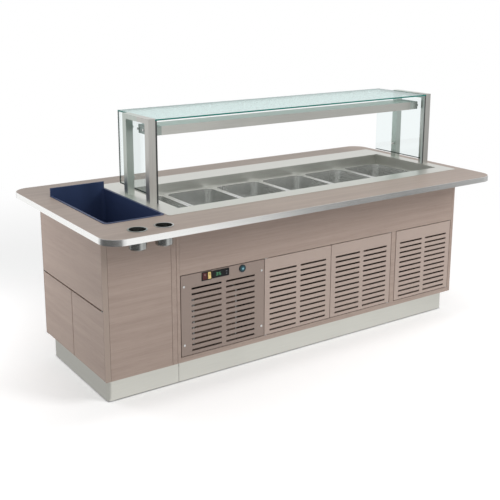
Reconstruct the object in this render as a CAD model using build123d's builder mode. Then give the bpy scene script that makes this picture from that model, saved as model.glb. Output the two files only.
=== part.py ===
"""Buffet island: a refrigerated pan well in a cabinet, with a glass canopy, bottle cups and a crockery bin.

Frame: millimetres, +X along the island, +Y from the louvred front to the back, +Z up,
origin on the floor under the middle of the worktop.
"""

import os
from math import cos, pi, radians, sin, sqrt

from build123d import *

os.makedirs("parts", exist_ok=True)

# Worktop
worktop_depth = 1225.0
worktop_height = 900.0
worktop_thickness = 30.0
worktop_corner_radius = 95.0
band_thickness = 2.0

# Cabinet under the worktop
end_overhang = 75.0
end_module_width = 398.0
plinth_height = 126.0
plinth_end_inset = 25.0
plinth_side_inset = 38.0
plinth_corner_radius = 25.0
plinth_sheet = 2.0
plinth_floor_gap = 6.0
plinth_seam_offset = 26.0
plinth_seam_gap = 3.0
board = 19.0
upper_end_board = 20.0
side_board = 28.0
right_board = 23.0
main_floor_board = 27.0
partition_board = 22.0
partition_setback = 2.0
joint_gap = 1.0
edge_chamfer = 1.0

# Base frame and feet
frame_tube = 40.0
tube_wall = 2.0
cross_tube_count = 5
foot_radius = 22.0
foot_pad_height = 10.0
foot_stem_radius = 8.0
foot_columns = 4

# Corner posts and end doors
post_width = 28.0
post_leg = 4.0
post_inner_leg = 6.0
post_depth = 40.0
door_edge_gap = 1.6
door_meeting_gap = 5.0
door_floor_gap = 3.0
finger_gap_level = 483.0
finger_gap = 8.0
rail_below_gap = 13.0
rail_height = 65.0
rail_thickness = 18.0

# Door pivots: a pin in a plate above and below each door
pin_radius = 2.5
pin_fit = 0.05
pin_from_face = 4.0
pin_from_edge = 8.0
pin_reach = 14.0
pin_end_room = 2.0
pivot_plate = 1.5
pivot_plate_half = 9.0
pivot_plate_gap = 1.4

# Louvre front of the main module
fascia_height = 281.0
panel_gap = 4.0
service_panel_width = 508.0
mullion_width = 34.0
mullion_depth = 40.0
panel_sheet = 1.5
panel_return = 20.0
slot_height = 10.0
slot_pitch = 30.0
slot_side_margin = 33.5
slot_column_gap = 28.0
slot_top_margin = 76.0
slot_bottom_margin = 20.0
batten_width = 30.0
batten_depth = 18.0
service_screw_inset = 17.0
service_screw_end_inset = 58.0
screw_head_radius = 6.5
screw_head_height = 2.5
screw_shank_radius = 2.4
screw_hole_fit = 0.4

# Controls on the service panel
control_drop = 24.0
thermostat_left = 183.0
thermostat_width = 102.0
thermostat_height = 40.0
thermostat_proud = 4.0
thermostat_wall = 5.0
thermostat_body_depth = 55.0
window_width = 52.0
window_height = 24.0
window_thickness = 1.0
window_inset = 8.0
key_width = 14.0
key_height = 8.0
key_spacing = 13.0
key_inset = 17.0
key_proud = 0.8
key_length = 4.2
key_pocket_depth = 5.0
key_fit = 0.3
rocker_frame_left = 121.5
rocker_frame_height = 45.0
rocker_frame_wall = 4.0
rocker_frame_proud = 3.0
rocker_frame_depth = 30.0
rocker_red_width = 28.0
rocker_yellow_width = 18.0
rocker_radius = 18.2
rocker_fit = 0.4
rocker_pivot_depth = 2.0
rocker_front = 6.5
rocker_dip = 2.0
rocker_back = 6.0
rocker_tilt = 6.0
ring_centre = 368.0
ring_radius = 20.0
ring_bore = 12.5
ring_proud = 6.0
ring_tube_wall = 2.25
ring_tube_depth = 28.0
ring_floor = 2.0
button_fit = 0.3
button_proud = 1.5
button_length = 21.5
cutout_fit = 0.4

# Refrigerated well, pans and condiment tray
pan_count = 5
pan_width = 325.0
pan_length = 530.0
pan_depth = 100.0
pan_rim = 15.0
pan_sheet = 1.2
pan_gap = 2.0
pan_corner = 45.0
pan_rim_corner = 12.0
pan_taper = 5.0
pan_bottom_radius = 10.0
pan_seat_gap = 0.3
pan_side_clearance = 1.5
tray_width = 194.0
tray_depth = 60.0
well_recess = 60.0
well_ledge = 12.0
well_sheet = 1.5
well_right_room = 50.0
well_centre_y = 7.5
tank_depth = 140.0
flange_front = 103.0
flange_rear = 176.0
flange_right = 67.5
flange_left = 110.0
flange_corner = 12.0
well_cutout_fit = 2.0
insulation_wall = 38.0
insulation_right_wall = 22.0
insulation_floor = 40.0
insulation_fit = 1.0
insulation_room = 55.0
main_side_room = 24.5

# Bottle cups in the front overhang
cup_radius = 42.0
cup_wall = 1.5
cup_depth = 92.0
cup_rim_radius = 47.5
cup_rim_height = 2.0
cup_hole_fit = 1.0
cup_seat_gap = 0.3
cup_from_front = 112.5
cup_first = 205.0
cup_pitch = 138.0
cup_bottom_chamfer = 5.0

# Crockery bin at the left end
bin_left_margin = 50.0
bin_flange_gap = 4.0
bin_front_margin = 50.0
bin_rear_margin = 30.0
bin_wall = 3.0
bin_depth = 185.0
bin_rim = 7.0
bin_rim_height = 2.5
bin_fit = 1.0
bin_seat_gap = 0.3
bin_back_height = 42.0
bin_corner = 20.0

# Canopy
canopy_post = 40.0
canopy_post_wall = 2.0
canopy_left_margin = 23.5
canopy_right_margin = 1.0
canopy_setback = 135.0
canopy_depth = 428.0
canopy_height = 440.0
canopy_rear_post_offset = 249.0
canopy_rail_height = 26.0
glass = 8.0
glass_edge_gap = 1.0
glass_foot_gap = 30.0
channel_wall = 1.0
channel_depth = 15.0
channel_grip = 12.0
lamp_width = 140.0
lamp_height = 47.0
lamp_drop = 51.0
lamp_front_offset = 62.0
lamp_sheet = 2.0
lamp_cap_length = 60.0
lamp_cap_fillet = 3.0
diffuser_thickness = 4.0
diffuser_recess = 1.0
glass_screw_radius = 6.0
glass_screw_head = 3.0
glass_screw_pitch = 60.0
glass_washer_radius = 9.0
glass_fixing_low = 60.0

# Condensing unit behind the service panel
condenser_width = 264.0
condenser_depth = 45.0
condenser_height = 265.0
condenser_lift = 29.0
condenser_setback = 55.0
condenser_plate = 3.0
condenser_plate_depth = 130.0
condenser_left_room = 75.0
fan_radius = 110.0
fan_tip_gap = 5.0
fan_ring_wall = 3.0
fan_ring_depth = 38.0
fan_hub_radius = 22.0
fan_hub_length = 24.0
fan_hub_setback = 18.0
fan_blade_count = 4
fan_blade_width = 70.0
fan_blade_thickness = 2.5
fan_blade_pitch = 25.0
fan_shaft_radius = 4.0
fan_shaft_fit = 0.05
fan_motor_radius = 35.0
fan_motor_length = 60.0
motor_bar_height = 30.0
compressor_radius = 90.0
compressor_height = 210.0
compressor_base = 4.0
compressor_dome = 40.0
compressor_from_side = 53.0
compressor_from_rear = 190.0
pipe_radius = 5.0
pipe_bend = 30.0
pipe_rise = 120.0
pipe_spread = 36.0

# Worked out from the driving dimensions: the pans set the well, the well sets the cabinet
well_length = pan_count * (pan_width + pan_gap) + tray_width + 2 * pan_gap
main_left_room = board + main_side_room + insulation_wall + well_sheet
body_length = end_module_width + joint_gap + main_left_room + well_length + well_right_room
worktop_length = body_length + 2 * end_overhang
body_depth = pan_length + 2 * (pan_side_clearance + well_sheet + insulation_wall + insulation_room + board)

worktop_top = worktop_height
body_top = worktop_height - worktop_thickness
body_bottom = plinth_height
body_left = -body_length / 2
body_right = body_length / 2
body_front = -body_depth / 2
body_rear = body_depth / 2

well_right = body_right - well_right_room
well_left = well_right - well_length
well_front = well_centre_y - pan_length / 2 - pan_side_clearance
well_rear = well_centre_y + pan_length / 2 + pan_side_clearance
flange_top = worktop_top + well_sheet
flange_left_edge = well_left - flange_left
flange_right_edge = well_right + flange_right
ledge_level = worktop_top - well_recess
well_floor_level = ledge_level - tank_depth

insulation_left = well_left - well_sheet - insulation_wall
insulation_bottom = well_floor_level - insulation_floor
main_left = well_left - main_left_room
main_inner_left = main_left + board
end_side_right = main_left - joint_gap
end_side_left = end_side_right - side_board
main_inner_right = body_right - right_board
inner_front = body_front + board
inner_rear = body_rear - board
post_right = body_left + post_width

panel_top = body_top - fascia_height - panel_gap
panel_bottom = body_bottom + main_floor_board + panel_gap
fascia_bottom = body_top - fascia_height
main_floor_top = body_bottom + main_floor_board
door_width = (main_inner_right - main_inner_left - service_panel_width - mullion_width - 6 * panel_gap) / 3
slot_length = (door_width - 2 * slot_side_margin - slot_column_gap) / 2
slot_rows = int((panel_top - panel_bottom - slot_top_margin - slot_bottom_margin) / slot_pitch) + 1
service_left = main_inner_left + panel_gap
service_right = service_left + service_panel_width
door_left_x = service_right + panel_gap
door_middle_x = door_left_x + door_width + panel_gap
mullion_left = door_middle_x + door_width + panel_gap
door_right_x = mullion_left + mullion_width + panel_gap
partition_right = service_right - partition_setback
partition_left = partition_right - partition_board
return_rear = body_front + panel_return

canopy_left = flange_left_edge + canopy_left_margin + canopy_post
canopy_right = flange_right_edge - canopy_right_margin - canopy_post
canopy_front = well_front + canopy_setback
canopy_rear = canopy_front + canopy_depth
canopy_top = worktop_top + canopy_height
glass_top = canopy_top - 2 * well_sheet
glass_under = glass_top - glass
lamp_top = canopy_top - lamp_drop
lamp_bottom = lamp_top - lamp_height
lamp_front = canopy_front + lamp_front_offset
lamp_rear = lamp_front + lamp_width
pane_left_x = (canopy_left + glass_edge_gap, canopy_left + glass_edge_gap + glass)
pane_right_x = (canopy_right - glass_edge_gap - glass, canopy_right - glass_edge_gap)

bin_opening_x = (body_left + bin_left_margin, flange_left_edge - bin_flange_gap - bin_rim)
bin_opening_y = (body_front + bin_front_margin, body_rear - bin_rear_margin)


def middle(span):
    return (span[0] + span[1]) / 2


def block(x_span, y_span, z_span, mode=Mode.ADD):
    """Add a box between three pairs of limits to the part being built."""
    with Locations((middle(x_span), middle(y_span), middle(z_span))):
        Box(x_span[1] - x_span[0], y_span[1] - y_span[0], z_span[1] - z_span[0], mode=mode)


def rounded_outline(x_span, y_span, radius, mode=Mode.ADD):
    """Add a rectangle with round corners, between two pairs of limits, to the sketch being drawn."""
    with Locations((middle(x_span), middle(y_span))):
        RectangleRounded(x_span[1] - x_span[0], y_span[1] - y_span[0], radius, mode=mode)


def upright_pin(x, y, z_from, z_to, radius, mode=Mode.ADD):
    """Add a vertical cylinder between two heights to the part being built."""
    with Locations((x, y, (z_from + z_to) / 2)):
        Cylinder(radius, z_to - z_from, mode=mode)


def save(builder, node):
    """Label a finished piece and write it as its own STEP file."""
    builder.part.label = node
    export_step(builder.part, f"parts/{node}.step")


# Base frame: two long tubes with cross tubes between them, touching end to side
frame_inset = plinth_corner_radius - (plinth_corner_radius - plinth_sheet - joint_gap) / sqrt(2)
frame_x = (body_left + plinth_end_inset + frame_inset, body_right - plinth_end_inset - frame_inset)
frame_y = (body_front + plinth_side_inset + frame_inset, body_rear - plinth_side_inset - frame_inset)
frame_z = (body_bottom - frame_tube, body_bottom)
cross_pitch = (frame_x[1] - frame_x[0] - frame_tube) / (cross_tube_count - 1)

with BuildPart() as base_frame:
    for y_low in (frame_y[0], frame_y[1] - frame_tube):
        long_y = (y_low, y_low + frame_tube)
        block(frame_x, long_y, frame_z)
        block(frame_x, (long_y[0] + tube_wall, long_y[1] - tube_wall),
              (frame_z[0] + tube_wall, frame_z[1] - tube_wall), Mode.SUBTRACT)
long_tubes = base_frame.part
cross_y = (frame_y[0] + frame_tube, frame_y[1] - frame_tube)

with BuildPart() as cross_tubes:
    for column in range(cross_tube_count):
        cross_x = (frame_x[0] + column * cross_pitch, frame_x[0] + column * cross_pitch + frame_tube)
        block(cross_x, cross_y, frame_z)
        block((cross_x[0] + tube_wall, cross_x[1] - tube_wall), cross_y,
              (frame_z[0] + tube_wall, frame_z[1] - tube_wall), Mode.SUBTRACT)

base_group = Compound(children=[*long_tubes.solids(), *cross_tubes.part.solids()])
base_group.label = "base_frame"
export_step(base_group, "parts/base_frame.step")

with BuildPart() as levelling_feet:
    foot_span_x = frame_x[1] - frame_x[0] - frame_tube
    foot_span_y = frame_y[1] - frame_y[0] - frame_tube
    with GridLocations(foot_span_x / (foot_columns - 1), foot_span_y, foot_columns, 2):
        Cylinder(foot_radius, foot_pad_height, align=(Align.CENTER, Align.CENTER, Align.MIN))
        Cylinder(foot_stem_radius, frame_z[0], align=(Align.CENTER, Align.CENTER, Align.MIN))
save(levelling_feet, "levelling_feet")

# Plinth: two bent sheets that meet at a seam in front and behind
plinth_x = (body_left + plinth_end_inset, body_right - plinth_end_inset)
plinth_y = (body_front + plinth_side_inset, body_rear - plinth_side_inset)
plinth_seam = end_side_right + plinth_seam_offset


def plinth_skirt(x_span):
    """A stainless skirt: the part of a rounded ring that lies between two places along X."""
    with BuildPart() as skirt:
        with BuildSketch(Plane.XY.offset(plinth_floor_gap)):
            rounded_outline(plinth_x, plinth_y, plinth_corner_radius)
            rounded_outline((plinth_x[0] + plinth_sheet, plinth_x[1] - plinth_sheet),
                            (plinth_y[0] + plinth_sheet, plinth_y[1] - plinth_sheet),
                            plinth_corner_radius - plinth_sheet, Mode.SUBTRACT)
            with Locations((middle(x_span), middle(plinth_y))):
                Rectangle(x_span[1] - x_span[0], worktop_depth, mode=Mode.INTERSECT)
        extrude(amount=body_bottom - plinth_floor_gap)
    return skirt


save(plinth_skirt((plinth_x[0], plinth_seam - plinth_seam_gap / 2)), "plinth_end")
save(plinth_skirt((plinth_seam + plinth_seam_gap / 2, plinth_x[1])), "plinth_main")

# Cabinet boards
cabinet_y = (body_front, body_rear)
cabinet_z = (body_bottom, body_top)
end_panel_x = (post_right + joint_gap, end_side_left - joint_gap)
main_bay_x = (main_inner_left, main_inner_right)

with BuildPart() as floor_panels:
    block((post_right, end_side_left), (inner_front, inner_rear), (body_bottom, body_bottom + board))
    block(main_bay_x, (body_front, inner_rear), (body_bottom, main_floor_top))
save(floor_panels, "floor_panels")

with BuildPart() as end_side_panel:
    block((end_side_left, end_side_right), cabinet_y, cabinet_z)
    chamfer(end_side_panel.edges().filter_by(Axis.Z), edge_chamfer)
save(end_side_panel, "end_side_panel")

with BuildPart() as main_left_panel:
    block((main_left, main_inner_left), cabinet_y, cabinet_z)
    chamfer(main_left_panel.edges().filter_by(Axis.Z), edge_chamfer)
    block((main_inner_left, main_inner_left + batten_width), (return_rear, return_rear + batten_depth),
          (main_floor_top, fascia_bottom))
save(main_left_panel, "main_left_panel")

with BuildPart() as right_end_panel:
    block((main_inner_right, body_right), cabinet_y, cabinet_z)
    chamfer(right_end_panel.edges().filter_by(Axis.Z), edge_chamfer)
save(right_end_panel, "right_end_panel")

with BuildPart() as end_front_panel:
    block(end_panel_x, (body_front, inner_front), cabinet_z)
    chamfer(end_front_panel.edges().filter_by(Axis.Z).group_by(Axis.Y)[0], edge_chamfer)
save(end_front_panel, "end_front_panel")

with BuildPart() as rear_panels:
    block(end_panel_x, (inner_rear, body_rear), cabinet_z)
    block(main_bay_x, (inner_rear, body_rear), cabinet_z)
    chamfer(rear_panels.edges().filter_by(Axis.Z).group_by(Axis.Y)[-1], edge_chamfer)
save(rear_panels, "rear_panels")

with BuildPart() as front_fascia:
    block(main_bay_x, (body_front, inner_front), (fascia_bottom, body_top))
    chamfer(front_fascia.edges().filter_by(Axis.X).group_by(Axis.Y)[0].sort_by(Axis.Z)[0], edge_chamfer)
save(front_fascia, "front_fascia")

with BuildPart() as front_mullion:
    block((mullion_left, mullion_left + mullion_width), (body_front, body_front + mullion_depth),
          (main_floor_top, fascia_bottom))
    chamfer(front_mullion.edges().filter_by(Axis.Z).group_by(Axis.Y)[0], edge_chamfer)
save(front_mullion, "front_mullion")

with BuildPart() as service_partition:
    block((partition_left, partition_right), (return_rear, inner_rear), (main_floor_top, insulation_bottom))
save(service_partition, "service_partition")

# Corner posts: angle profiles whose front leg hides the edges of the end doors
with BuildPart() as corner_posts:
    with BuildSketch(Plane.XY.offset(body_bottom)):
        for side in (-1, 1):
            face = side * body_rear
            with BuildLine():
                Polyline((body_left, face),
                         (post_right, face),
                         (post_right, face - side * post_depth),
                         (post_right - post_inner_leg, face - side * post_depth),
                         (post_right - post_inner_leg, face - side * post_leg),
                         (body_left, face - side * post_leg),
                         close=True)
            make_face()
    extrude(amount=body_top - body_bottom)
save(corner_posts, "corner_posts")

# Left end: upper panel, cross rail behind the finger gap and two doors on pivots
end_panel_y = body_rear - post_leg - door_edge_gap
door_top = finger_gap_level
door_bottom = body_bottom + door_floor_gap
gap_top = finger_gap_level + finger_gap
rail_x = (body_left + upper_end_board, body_left + upper_end_board + rail_thickness)
rail_y = body_rear - post_depth
rail_z = (finger_gap_level - rail_below_gap, finger_gap_level - rail_below_gap + rail_height)

with BuildPart() as end_upper_panel:
    block((body_left, body_left + upper_end_board), (-end_panel_y, end_panel_y), (gap_top, body_top))
    chamfer(end_upper_panel.edges().group_by(Axis.X)[0], edge_chamfer)
save(end_upper_panel, "end_upper_panel")

with BuildPart() as end_cross_rail:
    block(rail_x, (-rail_y, rail_y), rail_z)
save(end_cross_rail, "end_cross_rail")

end_pin_x = body_left + pin_from_face
end_pin_y = end_panel_y - pin_from_edge


def end_door(side):
    """One end door: side is -1 for the door next to the front, 1 for the one next to the back."""
    y_limits = sorted((side * door_meeting_gap / 2, side * end_panel_y))
    with BuildPart() as door:
        block((body_left, body_left + board), y_limits, (door_bottom, door_top))
        chamfer(door.edges().group_by(Axis.X)[0], edge_chamfer)
        for z_from, z_to in ((door_bottom, door_bottom + pin_reach), (door_top - pin_reach, door_top)):
            upright_pin(end_pin_x, side * end_pin_y, z_from, z_to, pin_radius + pin_fit, Mode.SUBTRACT)
    return door


save(end_door(-1), "end_door_front")
save(end_door(1), "end_door_rear")

with BuildPart() as end_door_pivots:
    for side in (-1, 1):
        plate_y = sorted((side * (end_panel_y - pin_from_face), side * (end_pin_y - pin_reach)))
        plate_x = (end_pin_x - pin_radius, post_right - post_inner_leg)
        low_plate = (body_bottom, door_bottom - pivot_plate_gap)
        block(plate_x, plate_y, low_plate)
        upright_pin(end_pin_x, side * end_pin_y, low_plate[1],
                    door_bottom + pin_reach - pin_end_room, pin_radius)
        high_plate = (door_top + pivot_plate_gap, door_top + pivot_plate_gap + pivot_plate)
        block(plate_x, plate_y, high_plate)
        upright_pin(end_pin_x, side * end_pin_y, door_top - pin_reach + pin_end_room,
                    high_plate[0], pin_radius)
save(end_door_pivots, "end_door_pivots")

# Louvre panels: folded sheet trays with two columns of slots
slot_field_middle = panel_top - slot_top_margin - (slot_rows - 1) * slot_pitch / 2
louvre_pin_y = body_front + pin_from_face


def slot_field(x_middle):
    """The slots of one panel as faces on its front."""
    slot_plane = Plane(origin=(x_middle, body_front, slot_field_middle),
                       x_dir=(1, 0, 0), z_dir=(0, -1, 0))
    with BuildSketch(slot_plane) as slots:
        with GridLocations(slot_length + slot_column_gap, slot_pitch, 2, slot_rows):
            Rectangle(slot_length, slot_height)
    return slots.sketch


def louvre_tray(x_left, width):
    """Add a sheet tray, open behind, with its slots to the part being built."""
    x_span = (x_left, x_left + width)
    block(x_span, (body_front, return_rear), (panel_bottom, panel_top))
    block((x_span[0] + panel_sheet, x_span[1] - panel_sheet), (body_front + panel_sheet, return_rear),
          (panel_bottom + panel_sheet, panel_top - panel_sheet), Mode.SUBTRACT)
    extrude(slot_field(middle(x_span)), amount=-panel_sheet, mode=Mode.SUBTRACT)


def louvre_door(x_left, pin_x):
    """A louvre door with a pin hole through its top and bottom folds."""
    with BuildPart() as door:
        louvre_tray(x_left, door_width)
        upright_pin(pin_x, louvre_pin_y, panel_bottom, panel_top, pin_radius + pin_fit, Mode.SUBTRACT)
    return door


louvre_pins_x = (door_left_x + pin_from_edge,
                 door_middle_x + door_width - pin_from_edge,
                 door_right_x + door_width - pin_from_edge)
save(louvre_door(door_left_x, louvre_pins_x[0]), "louvre_door_left")
save(louvre_door(door_middle_x, louvre_pins_x[1]), "louvre_door_middle")
save(louvre_door(door_right_x, louvre_pins_x[2]), "louvre_door_right")

with BuildPart() as louvre_door_pivots:
    for pin_x in louvre_pins_x:
        plate_x = (pin_x - pivot_plate_half, pin_x + pivot_plate_half)
        plate_y = (body_front + edge_chamfer, inner_front)
        block(plate_x, plate_y, (main_floor_top, main_floor_top + pivot_plate))
        upright_pin(pin_x, louvre_pin_y, main_floor_top + pivot_plate, panel_bottom + pin_reach, pin_radius)
        block(plate_x, plate_y, (fascia_bottom - pivot_plate, fascia_bottom))
        upright_pin(pin_x, louvre_pin_y, panel_top - pin_reach, fascia_bottom - pivot_plate, pin_radius)
save(louvre_door_pivots, "louvre_door_pivots")

# Service panel: the same tray, screwed on, with cut-outs for the controls
control_level = panel_top - control_drop
thermostat_x = (service_left + thermostat_left, service_left + thermostat_left + thermostat_width)
thermostat_z = (control_level - thermostat_height / 2, control_level + thermostat_height / 2)
thermostat_body_x = (thermostat_x[0] + thermostat_wall, thermostat_x[1] - thermostat_wall)
thermostat_body_z = (thermostat_z[0] + thermostat_wall, thermostat_z[1] - thermostat_wall)
rocker_frame_width = rocker_red_width + rocker_yellow_width + 3 * rocker_frame_wall
rocker_frame_x = (service_left + rocker_frame_left, service_left + rocker_frame_left + rocker_frame_width)
rocker_frame_z = (control_level - rocker_frame_height / 2, control_level + rocker_frame_height / 2)
rocker_red_left = rocker_frame_x[0] + rocker_frame_wall
rocker_red_x = (rocker_red_left, rocker_red_left + rocker_red_width)
rocker_yellow_left = rocker_red_x[1] + rocker_frame_wall
rocker_yellow_x = (rocker_yellow_left, rocker_yellow_left + rocker_yellow_width)
rocker_half = rocker_radius + rocker_fit
rocker_body_wall = rocker_frame_wall / 2
rocker_body_x = (rocker_frame_x[0] + rocker_body_wall, rocker_frame_x[1] - rocker_body_wall)
rocker_body_half = rocker_half + rocker_body_wall / 2
rocker_body_z = (control_level - rocker_body_half, control_level + rocker_body_half)
ring_x = service_left + ring_centre
ring_tube_radius = ring_bore + ring_tube_wall
screw_places = [(x, z)
                for x in (service_left + service_screw_inset, service_right - service_screw_inset)
                for z in (panel_bottom + service_screw_end_inset, panel_top - service_screw_end_inset)]


def wider(span, room):
    return (span[0] - room, span[1] + room)


with BuildPart() as service_panel:
    louvre_tray(service_left, service_panel_width)
    sheet_y = (body_front, body_front + panel_sheet)
    for body_x, body_z in ((thermostat_body_x, thermostat_body_z), (rocker_body_x, rocker_body_z)):
        block(wider(body_x, cutout_fit), sheet_y, wider(body_z, cutout_fit), Mode.SUBTRACT)
    with BuildSketch(Plane.XZ.offset(-body_front)):
        with Locations((ring_x, control_level)):
            Circle(ring_tube_radius + cutout_fit)
        with Locations(*screw_places):
            Circle(screw_shank_radius + screw_hole_fit)
    extrude(amount=-panel_sheet, mode=Mode.SUBTRACT)
save(service_panel, "service_panel")

# Thermostat: case with a window and two keys
front_plane = Plane.XZ.offset(-body_front)
case_front = body_front - thermostat_proud
window_x = (thermostat_x[0] + window_inset, thermostat_x[0] + window_inset + window_width)
window_z = (control_level - window_height / 2, control_level + window_height / 2)
key_x = thermostat_x[1] - key_inset
key_levels = {"up": control_level + key_spacing / 2, "down": control_level - key_spacing / 2}
key_half_width = key_width / 2
key_half_height = key_height / 2


def key_span(level, room):
    """Limits of a key, or of its pocket, across and up."""
    x_span = (key_x - key_half_width - room, key_x + key_half_width + room)
    z_span = (level - key_half_height - room, level + key_half_height + room)
    return x_span, z_span


with BuildPart() as thermostat_case:
    block(thermostat_x, (case_front, body_front), thermostat_z)
    fillet(thermostat_case.edges().filter_by(Axis.Y), thermostat_wall / 2)
    chamfer(thermostat_case.faces().sort_by(Axis.Y)[0].edges(), edge_chamfer)
    block(thermostat_body_x, (body_front, body_front + thermostat_body_depth), thermostat_body_z)
    block(window_x, (case_front, case_front + window_thickness), window_z, Mode.SUBTRACT)
    for level in key_levels.values():
        pocket_x, pocket_z = key_span(level, key_fit)
        block(pocket_x, (case_front, case_front + key_pocket_depth), pocket_z, Mode.SUBTRACT)
save(thermostat_case, "thermostat_case")

with BuildPart() as thermostat_window:
    block(window_x, (case_front, case_front + window_thickness), window_z)
save(thermostat_window, "thermostat_window")

for key_name, level in key_levels.items():
    with BuildPart() as thermostat_key:
        cap_x, cap_z = key_span(level, 0.0)
        block(cap_x, (case_front - key_proud, case_front - key_proud + key_length), cap_z)
        chamfer(thermostat_key.faces().sort_by(Axis.Y)[0].edges(), key_proud / 2)
    save(thermostat_key, f"thermostat_key_{key_name}")

# Rocker switches: a frame with two pockets, and rockers round a pivot along X
rocker_front_y = body_front - rocker_frame_proud
rocker_pivot_y = body_front + rocker_pivot_depth

with BuildPart() as rocker_frame:
    block(rocker_frame_x, (rocker_front_y, body_front), rocker_frame_z)
    fillet(rocker_frame.edges().filter_by(Axis.Y), rocker_frame_wall / 2)
    block(rocker_body_x, (body_front, body_front + rocker_frame_depth), rocker_body_z)
    for pocket_x in (rocker_red_x, rocker_yellow_x):
        block(pocket_x, (rocker_front_y, body_front + rocker_frame_depth - rocker_frame_wall),
              (control_level - rocker_half, control_level + rocker_half), Mode.SUBTRACT)
save(rocker_frame, "rocker_frame")


def rocker(x_span):
    """A rocker cap: a slice of a round bar about its pivot, with a dipped front, resting tilted."""
    tilt = radians(rocker_tilt)
    section = Plane(origin=(x_span[0] + rocker_fit, rocker_pivot_y, control_level),
                    x_dir=(0, -cos(tilt), sin(tilt)), z_dir=(1, 0, 0))
    reach = 2 * rocker_radius
    with BuildPart() as cap:
        with BuildSketch(section):
            Circle(rocker_radius)
            with BuildLine():
                Polyline((-rocker_back, -reach),
                         (rocker_front, -reach),
                         (rocker_front - rocker_dip, 0),
                         (rocker_front, reach),
                         (-rocker_back, reach),
                         close=True)
            make_face(mode=Mode.INTERSECT)
        extrude(amount=x_span[1] - x_span[0] - 2 * rocker_fit)
    return cap


save(rocker(rocker_red_x), "rocker_red")
save(rocker(rocker_yellow_x), "rocker_yellow")

# Push button in its ring
with BuildPart() as button_ring:
    with BuildSketch(front_plane):
        with Locations((ring_x, control_level)):
            Circle(ring_radius)
    extrude(amount=ring_proud)
    chamfer(button_ring.faces().sort_by(Axis.Y)[0].edges(), ring_proud / 3)
    with BuildSketch(front_plane):
        with Locations((ring_x, control_level)):
            Circle(ring_tube_radius)
    extrude(amount=-ring_tube_depth)
    with BuildSketch(front_plane.offset(ring_proud)):
        with Locations((ring_x, control_level)):
            Circle(ring_bore)
    extrude(amount=-(ring_proud + ring_tube_depth - ring_floor), mode=Mode.SUBTRACT)
save(button_ring, "button_ring")

with BuildPart() as push_button:
    with BuildSketch(front_plane.offset(ring_proud + button_proud)):
        with Locations((ring_x, control_level)):
            Circle(ring_bore - button_fit)
    extrude(amount=-button_length)
    chamfer(push_button.faces().sort_by(Axis.Y)[0].edges(), button_proud)
save(push_button, "push_button")

# Worktop board with its cut-outs, and the stainless band round its edge
worktop_x = (-worktop_length / 2, worktop_length / 2)
worktop_y = (-worktop_depth / 2, worktop_depth / 2)
collar_x = (well_left - well_sheet, well_right + well_sheet)
collar_y = (well_front - well_sheet, well_rear + well_sheet)
cup_y = worktop_y[0] + cup_from_front
cup_places_x = (worktop_x[0] + cup_first, worktop_x[0] + cup_first + cup_pitch)
board_x = (worktop_x[0] + band_thickness, worktop_x[1] - band_thickness)
board_y = (worktop_y[0] + band_thickness, worktop_y[1] - band_thickness)
board_corner_radius = worktop_corner_radius - band_thickness

with BuildPart() as worktop:
    with BuildSketch(Plane.XY.offset(body_top)):
        rounded_outline(board_x, board_y, board_corner_radius)
        rounded_outline(wider(collar_x, well_cutout_fit), wider(collar_y, well_cutout_fit),
                        well_cutout_fit, Mode.SUBTRACT)
        rounded_outline(bin_opening_x, bin_opening_y, bin_corner, Mode.SUBTRACT)
        with Locations(*[(x, cup_y) for x in cup_places_x]):
            Circle(cup_radius + cup_hole_fit, mode=Mode.SUBTRACT)
    extrude(amount=worktop_thickness)
save(worktop, "worktop")

with BuildPart() as edge_band:
    with BuildSketch(Plane.XY.offset(body_top)):
        rounded_outline(worktop_x, worktop_y, worktop_corner_radius)
        rounded_outline(board_x, board_y, board_corner_radius, Mode.SUBTRACT)
    extrude(amount=worktop_thickness)
save(edge_band, "edge_band")

# Well: collar with flange and ledge, tank below it, insulation round the tank
opening_x = (well_left, well_right)
opening_y = (well_front, well_rear)
tank_x = (well_left + well_ledge, well_right - well_ledge)
tank_y = (well_front + well_ledge, well_rear - well_ledge)

with BuildPart() as well_collar:
    with BuildSketch(Plane.XY.offset(worktop_top)):
        rounded_outline((flange_left_edge, flange_right_edge),
                        (well_front - flange_front, well_rear + flange_rear), flange_corner)
        rounded_outline(opening_x, opening_y, well_sheet, Mode.SUBTRACT)
    extrude(amount=well_sheet)
    with BuildSketch(Plane.XY.offset(ledge_level - well_sheet)):
        rounded_outline(collar_x, collar_y, 2 * well_sheet)
        rounded_outline(opening_x, opening_y, well_sheet, Mode.SUBTRACT)
    extrude(amount=worktop_top - ledge_level + well_sheet)
    with BuildSketch(Plane.XY.offset(ledge_level - well_sheet)):
        rounded_outline(collar_x, collar_y, 2 * well_sheet)
        rounded_outline(tank_x, tank_y, well_sheet, Mode.SUBTRACT)
    extrude(amount=well_sheet)
save(well_collar, "well_collar")

with BuildPart() as well_tank:
    with BuildSketch(Plane.XY.offset(well_floor_level)):
        rounded_outline(wider(tank_x, well_sheet), wider(tank_y, well_sheet), 2 * well_sheet)
    extrude(amount=ledge_level - well_sheet - well_floor_level)
    with BuildSketch(Plane.XY.offset(well_floor_level + well_sheet)):
        rounded_outline(tank_x, tank_y, well_sheet)
    extrude(amount=ledge_level - well_floor_level, mode=Mode.SUBTRACT)
save(well_tank, "well_tank")

with BuildPart() as tank_insulation:
    block((insulation_left, collar_x[1] + insulation_right_wall), wider(collar_y, insulation_wall),
          (insulation_bottom, body_top))
    block(wider(collar_x, insulation_fit), wider(collar_y, insulation_fit),
          (well_floor_level, body_top), Mode.SUBTRACT)
save(tank_insulation, "tank_insulation")


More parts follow.
